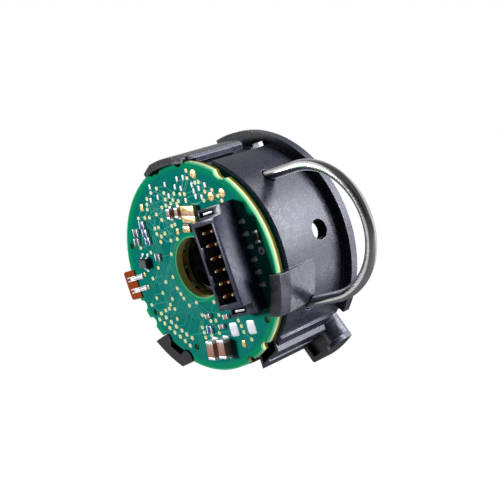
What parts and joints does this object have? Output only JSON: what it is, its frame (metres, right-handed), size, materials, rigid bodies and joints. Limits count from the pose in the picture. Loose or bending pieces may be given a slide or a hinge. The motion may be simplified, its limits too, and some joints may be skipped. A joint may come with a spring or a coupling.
{
  "type": "hollow shaft rotary encoder",
  "caption": "Kit rotary encoder: a moulded cup with a round circuit board and pin header snapped onto it, a hollow hub with a code disc inside and a bent wire clip that locks the hub.",
  "frame": {"origin": "centre of the hub's rear end on the shaft axis, in the plane of the motor face", "axes": "+Y along the shaft axis towards the motor, +X the way the wire clip pulls out, +Z along the pin header"},
  "size_m": [0.0509, 0.0214, 0.0399],
  "materials": {
    "housing_plastic": "fine grain",
    "solder_mask": "satin",
    "header_plastic": "satin",
    "gold": "plated",
    "tin": "tinned",
    "polyimide": "glossy",
    "ceramic": "satin",
    "resistor_glaze": "glazed",
    "chip_black": "matt",
    "hub_metal": "turned and blackened",
    "dark_steel": "blackened",
    "clip_steel": "drawn wire"
  },
  "bodies": {
    "stator": {"housing": "housing_plastic", "main_board": "solder_mask", "header_shroud": "header_plastic", "header_pins": "gold", "header_hold_downs": "tin", "flex_link": "polyimide", "flex_leads": "tin", "large_capacitors": "ceramic", "ceramic_capacitors": "ceramic", "small_chips": "ceramic", "chip_resistors": "resistor_glaze", "ceramic_filter": "gold", "transistor": "chip_black", "status_chip": "resistor_glaze", "signal_processor": "chip_black", "line_driver": "chip_black", "memory_chip": "chip_black", "stator_board": "solder_mask", "board_spacer": "housing_plastic"},
    "rotor": {"rotor_hub": "hub_metal", "rotor_board": "solder_mask", "hub_set_screws": "dark_steel"},
    "clip": {"wire_clip": "clip_steel"}
  },
  "joints": [
    {"name": "rotor_spin", "type": "hinge", "parent": "stator", "child": "rotor", "pos_m": [0, 0, 0], "axis": [0, 1, 0], "continuous": true},
    {"name": "clip_pull", "type": "slide", "parent": "stator", "child": "clip", "axis": [1, 0, 0], "range_m": [0, 0.026]}
  ]
}
